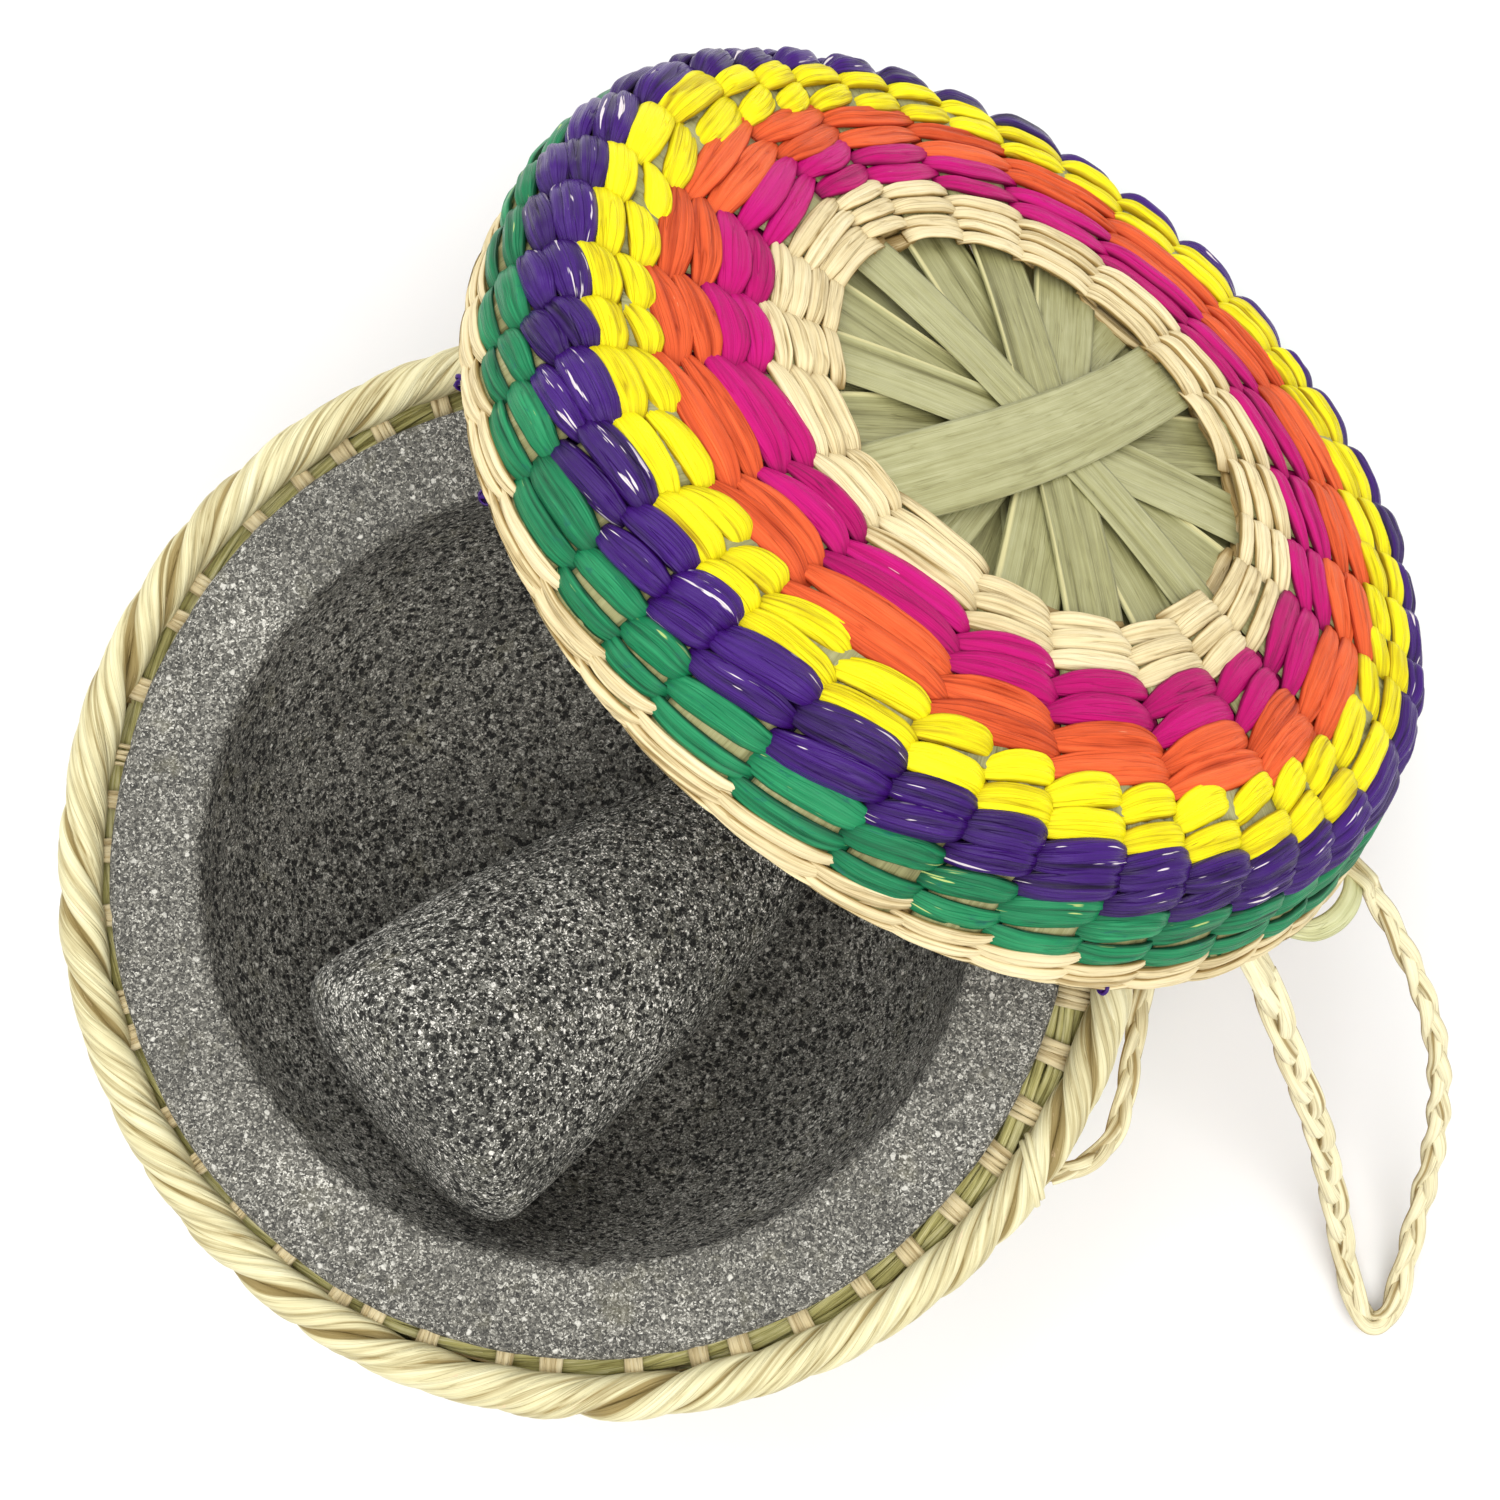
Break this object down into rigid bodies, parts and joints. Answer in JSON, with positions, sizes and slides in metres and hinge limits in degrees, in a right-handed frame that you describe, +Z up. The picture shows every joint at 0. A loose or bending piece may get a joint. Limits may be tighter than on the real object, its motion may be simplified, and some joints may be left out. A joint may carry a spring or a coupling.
{
  "type": "molcajete",
  "caption": "Carved volcanic stone mortar with its pestle, in a woven palm basket with a rope rim, and a banded woven lid with a braided strap leaning on the basket.",
  "frame": {"origin": "middle of the basket's base, on the surface it stands on", "axes": "+Z up; the lid leans on the basket between +X and +Y"},
  "size_m": [0.3065, 0.2973, 0.1759],
  "materials": {
    "palm_cream": "satin",
    "palm_rope": "satin",
    "leaf_green": "satin",
    "dyed_magenta": "satin",
    "dyed_orange": "satin",
    "dyed_yellow": "satin",
    "dyed_purple": "gloss",
    "dyed_green": "gloss",
    "mortar_stone": "matte",
    "pestle_stone": "matte"
  },
  "bodies": {
    "basket": {"basket_base_star": "leaf_green", "basket_base_weft": "palm_cream", "basket_spokes": "leaf_green", "basket_foot_weft_cream": "palm_cream", "basket_weft_green": "dyed_green", "basket_weft_purple": "dyed_purple", "basket_weft_yellow": "dyed_yellow", "basket_weft_orange": "dyed_orange", "basket_weft_magenta": "dyed_magenta", "basket_top_weft_cream": "palm_cream", "basket_rim_core": "leaf_green", "basket_rim_rope": "palm_rope", "basket_rim_lashings": "palm_cream", "basket_loop": "palm_cream", "basket_loop_ties": "palm_rope"},
    "mortar": {"mortar": "mortar_stone"},
    "pestle": {"pestle": "pestle_stone"},
    "lid": {"lid_star_strip_1": "leaf_green", "lid_star_strip_2": "leaf_green", "lid_star_strip_3": "leaf_green", "lid_star_strip_4": "leaf_green", "lid_star_strip_5": "leaf_green", "lid_star_strip_6": "leaf_green", "lid_star_strip_7": "leaf_green", "lid_star_strip_8": "leaf_green", "lid_star_strip_9": "leaf_green", "lid_spokes": "leaf_green", "lid_inner_weft_cream": "palm_cream", "lid_weft_magenta": "dyed_magenta", "lid_weft_orange": "dyed_orange", "lid_weft_yellow": "dyed_yellow", "lid_weft_purple": "dyed_purple", "lid_weft_green": "dyed_green", "lid_rim_weft_cream": "palm_cream", "lid_rim_knots": "dyed_purple", "lid_strap_ties": "leaf_green"},
    "strap": {"lid_strap": "palm_cream"}
  },
  "joints": [
    {"name": "mortar_lift", "type": "slide", "parent": "basket", "child": "mortar", "axis": [0, 0, 1], "range_m": [0, 0.13]},
    {"name": "pestle_lift", "type": "slide", "parent": "mortar", "child": "pestle", "axis": [-0.1349, -0.1093, 0.9848], "range_m": [0, 0.12]},
    {"name": "lid_lift_off", "type": "slide", "parent": "mortar", "child": "lid", "axis": [0.5129, 0.4867, 0.7071], "range_m": [0, 0.12]},
    {"name": "strap_swing", "type": "hinge", "parent": "lid", "child": "strap", "pos_m": [0.166, -0.0035, 0.0735], "axis": [-0.6437, -0.4649, 0.6079], "range_deg": [0, 60]}
  ]
}
